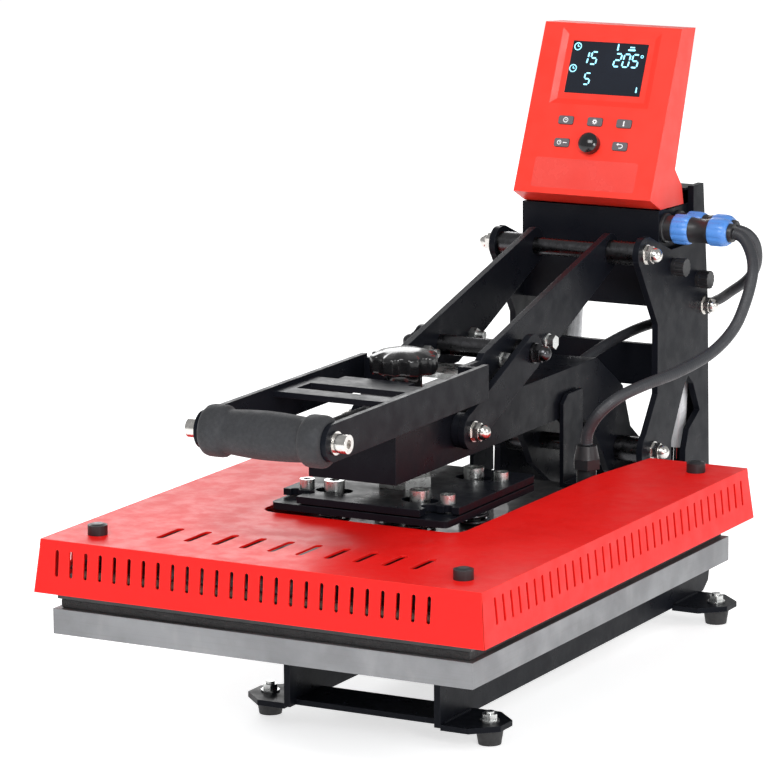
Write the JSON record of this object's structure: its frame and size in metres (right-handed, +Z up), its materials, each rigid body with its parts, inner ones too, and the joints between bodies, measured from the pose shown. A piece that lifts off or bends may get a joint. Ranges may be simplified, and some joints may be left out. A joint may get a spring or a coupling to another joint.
{
  "type": "heat press",
  "caption": "Clamshell heat press: toggle lever and swing arm lower a covered heating platen onto a padded lower platen, with a tilted control head on the rear column.",
  "frame": {"origin": "centre of the footprint box on the bench surface, at the bottoms of the rubber feet", "axes": "+X to the machine's right seen from the grip, +Y from the grip to the column, +Z up"},
  "size_m": [0.429, 0.7498, 0.564],
  "materials": {
    "black_powder": "fine textured powder coat",
    "red_powder": "fine textured powder coat",
    "bare_aluminium": "brushed",
    "zinc": "bright zinc plate",
    "stainless": "polished",
    "blackened_steel": "burnished, oiled",
    "rubber": "matt",
    "foam_rubber": "fine-celled, matt",
    "silicone_pad": "open-celled sponge",
    "heater_coat": "black non-stick coat",
    "black_plastic": "moulded",
    "gloss_black": "polished",
    "screen": "lit, behind a clear pane",
    "key_grey": "satin",
    "blue_plastic": "satin",
    "circuit": "lacquered",
    "insulation": "needled felt",
    "cable_jacket": "satin",
    "strut_silver": "satin"
  },
  "bodies": {
    "frame": {"side_plate_left": "black_powder", "side_plate_right": "black_powder", "front_cross_plate": "black_powder", "rear_cross_plate": "black_powder", "foot_plates": "black_powder", "rubber_feet": "rubber", "foot_bolts": "zinc", "lower_platen": "bare_aluminium", "foam_pad": "silicone_pad", "control_box": "black_powder", "box_rear_cover": "black_powder", "control_head": "red_powder", "head_rear_cover": "red_powder", "display": "screen", "circuit_board": "circuit", "mains_inlet": "black_plastic", "cable_plugs": "blue_plastic", "fuse_holders": "black_plastic", "fuse_caps": "black_plastic", "pivot_shafts": "blackened_steel", "shaft_spacers": "blackened_steel", "shaft_nuts": "stainless", "strut_bolts": "stainless", "heater_cable": "cable_jacket", "sensor_cable": "cable_jacket"},
    "power_rocker": {"power_switch": "black_plastic"},
    "key_1": {"button_1": "key_grey"},
    "key_2": {"button_2": "key_grey"},
    "key_3": {"button_3": "key_grey"},
    "key_4": {"button_4": "key_grey"},
    "key_5": {"button_5": "key_grey"},
    "encoder": {"encoder_knob": "gloss_black"},
    "lever": {"lever_arms": "black_powder", "lever_web": "zinc", "handle_plates": "black_powder", "handle_frame": "black_powder", "grip": "foam_rubber", "grip_bolts": "stainless", "cross_shaft": "blackened_steel", "lever_bolts": "zinc"},
    "links": {"link_plates": "black_powder", "link_pins": "stainless"},
    "arm": {"swing_arm": "black_powder", "thrust_bush": "blackened_steel"},
    "pressure_adjuster": {"star_knob": "gloss_black", "pressure_screw": "zinc"},
    "heat_platen": {"adjuster_nut": "zinc", "upper_mount_plate": "black_powder", "lower_mount_plate": "black_powder", "mount_screws": "zinc", "mount_springs": "blackened_steel", "guide_brackets": "black_powder", "inner_sheet": "heater_coat", "insulation_mat": "insulation", "heater_block": "heater_coat", "cover": "red_powder", "cover_nuts": "black_plastic", "cable_gland": "black_plastic"},
    "strut_rod_pair": {"strut_rods": "stainless"},
    "strut_cylinder_pair": {"strut_cylinders": "strut_silver"}
  },
  "joints": [
    {"name": "arm_lift", "type": "hinge", "parent": "frame", "child": "arm", "pos_m": [0, 0.2321, 0.178], "axis": [-1, 0, 0], "range_deg": [0, 47], "deforming": ["heater_cable", "sensor_cable"]},
    {"name": "lever_raise", "type": "hinge", "parent": "frame", "child": "lever", "pos_m": [0, 0.2151, 0.366], "axis": [-1, 0, 0], "range_deg": [0, 91.6]},
    {"name": "link_swing", "type": "hinge", "parent": "lever", "child": "links", "pos_m": [0, 0.0261, 0.305], "axis": [-1, 0, 0], "range_deg": [-113.4, 0]},
    {"name": "strut_turn", "type": "hinge", "parent": "frame", "child": "strut_cylinder_pair", "pos_m": [0, 0.3431, 0.298], "axis": [-1, 0, 0], "range_deg": [0, 14.79]},
    {"name": "strut_extend", "type": "slide", "parent": "strut_cylinder_pair", "child": "strut_rod_pair", "axis": [0, -0.1012, -0.9949], "range_m": [0, 0.06695]},
    {"name": "pressure_turn", "type": "hinge", "parent": "arm", "child": "pressure_adjuster", "pos_m": [0, -0.1109, 0.3], "axis": [0, 0, 1], "range_deg": [0, 900]},
    {"name": "platen_set", "type": "slide", "parent": "arm", "child": "heat_platen", "axis": [0, 0, 1], "range_m": [0, 0.005]},
    {"name": "encoder_turn", "type": "hinge", "parent": "frame", "child": "encoder", "pos_m": [0, 0.25814, 0.45728], "axis": [0, -0.9121, 0.4099], "continuous": true},
    {"name": "power_rock", "type": "hinge", "parent": "frame", "child": "power_rocker", "pos_m": [0.0253, 0.3271, 0.344], "axis": [1, 0, 0], "range_deg": [0, 12]},
    {"name": "key_1_press", "type": "slide", "parent": "frame", "child": "key_1", "axis": [0, 0.9121, -0.4099], "range_m": [0, 0.001], "stiffness_N_per_m": 300, "springref_m": -0.001},
    {"name": "key_2_press", "type": "slide", "parent": "frame", "child": "key_2", "axis": [0, 0.9121, -0.4099], "range_m": [0, 0.001], "stiffness_N_per_m": 300, "springref_m": -0.001},
    {"name": "key_3_press", "type": "slide", "parent": "frame", "child": "key_3", "axis": [0, 0.9121, -0.4099], "range_m": [0, 0.001], "stiffness_N_per_m": 300, "springref_m": -0.001},
    {"name": "key_4_press", "type": "slide", "parent": "frame", "child": "key_4", "axis": [0, 0.9121, -0.4099], "range_m": [0, 0.001], "stiffness_N_per_m": 300, "springref_m": -0.001},
    {"name": "key_5_press", "type": "slide", "parent": "frame", "child": "key_5", "axis": [0, 0.9121, -0.4099], "range_m": [0, 0.001], "stiffness_N_per_m": 300, "springref_m": -0.001}
  ],
  "couplings": [
    {"joint": "lever_raise", "follows": "arm_lift", "ratio": 1.9489},
    {"joint": "link_swing", "follows": "arm_lift", "ratio": -2.4128},
    {"joint": "strut_turn", "follows": "arm_lift", "ratio": 0.31468},
    {"joint": "strut_extend", "follows": "arm_lift", "m_per_rad": 0.081615},
    {"joint": "pressure_turn", "follows": "platen_set", "rad_per_m": 3141.6}
  ]
}
